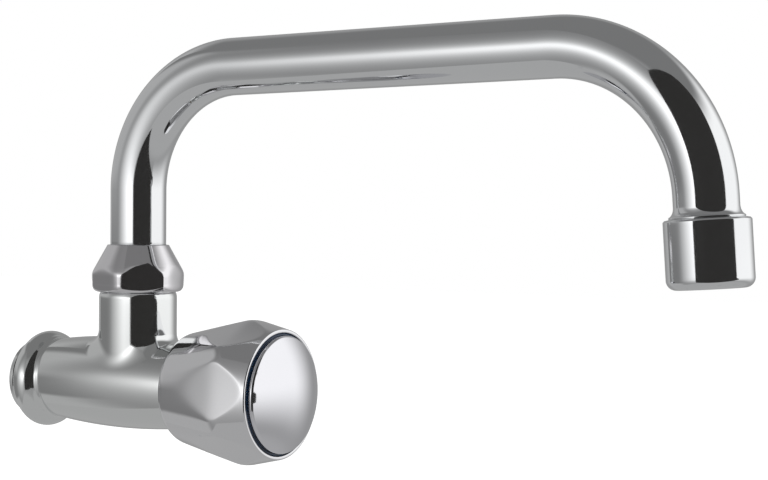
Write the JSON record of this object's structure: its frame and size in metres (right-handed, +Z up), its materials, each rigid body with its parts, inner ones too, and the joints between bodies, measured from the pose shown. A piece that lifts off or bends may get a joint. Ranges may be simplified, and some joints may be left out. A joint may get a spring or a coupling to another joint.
{
  "type": "kitchen tap",
  "caption": "Wall-mounted single kitchen tap with a swivelling swan-bend upper spout, faceted knob and aerator outlet.",
  "frame": {"origin": "centre of the inlet tail's end face, where the half-inch thread opens", "axes": "+Y out of the inlet towards the wall, +Z up the riser, spout and knob towards -Y at rest"},
  "size_m": [0.0438, 0.2535, 0.1359],
  "materials": {
    "chrome": "polished",
    "brass": "machined",
    "steel": "satin",
    "rubber": "matt",
    "acetal": "satin",
    "grid_plastic": "satin",
    "fibre": "matt",
    "index_blue": "glossy, lightly tinted"
  },
  "bodies": {
    "body": {"body_casting": "chrome", "union_nut": "chrome", "slip_washer": "acetal", "split_ring": "acetal", "bonnet_gasket": "fibre", "headwork_bonnet": "brass"},
    "spout": {"spout_tube": "chrome", "spout_ferrule": "brass", "spout_o_rings": "rubber", "spout_nipple": "brass", "aerator_housing": "chrome", "aerator_washer": "rubber", "aerator_insert": "acetal", "aerator_flow_disc": "acetal", "aerator_screens": "steel", "aerator_grid": "grid_plastic"},
    "handle": {"knob": "chrome", "spindle": "brass", "spindle_o_rings": "rubber", "spindle_circlip": "steel", "screw_washer": "steel", "knob_screw": "steel", "index_ring": "index_blue", "cap_disc": "chrome"},
    "valve": {"valve_carrier": "brass", "valve_washer": "rubber", "valve_screw": "brass"}
  },
  "joints": [
    {"name": "spout_swivel", "type": "hinge", "parent": "body", "child": "spout", "pos_m": [0, -0.045, 0.04], "axis": [0, 0, 1], "range_deg": [-95, 95]},
    {"name": "knob_turn", "type": "hinge", "parent": "body", "child": "handle", "pos_m": [0, -0.07, 0], "axis": [0, -1, 0], "range_deg": [0, 810]},
    {"name": "valve_lift", "type": "slide", "parent": "body", "child": "valve", "axis": [0, -1, 0], "range_m": [0, 0.0045]}
  ],
  "couplings": [
    {"joint": "valve_lift", "follows": "knob_turn", "m_per_rad": 0.000318}
  ]
}
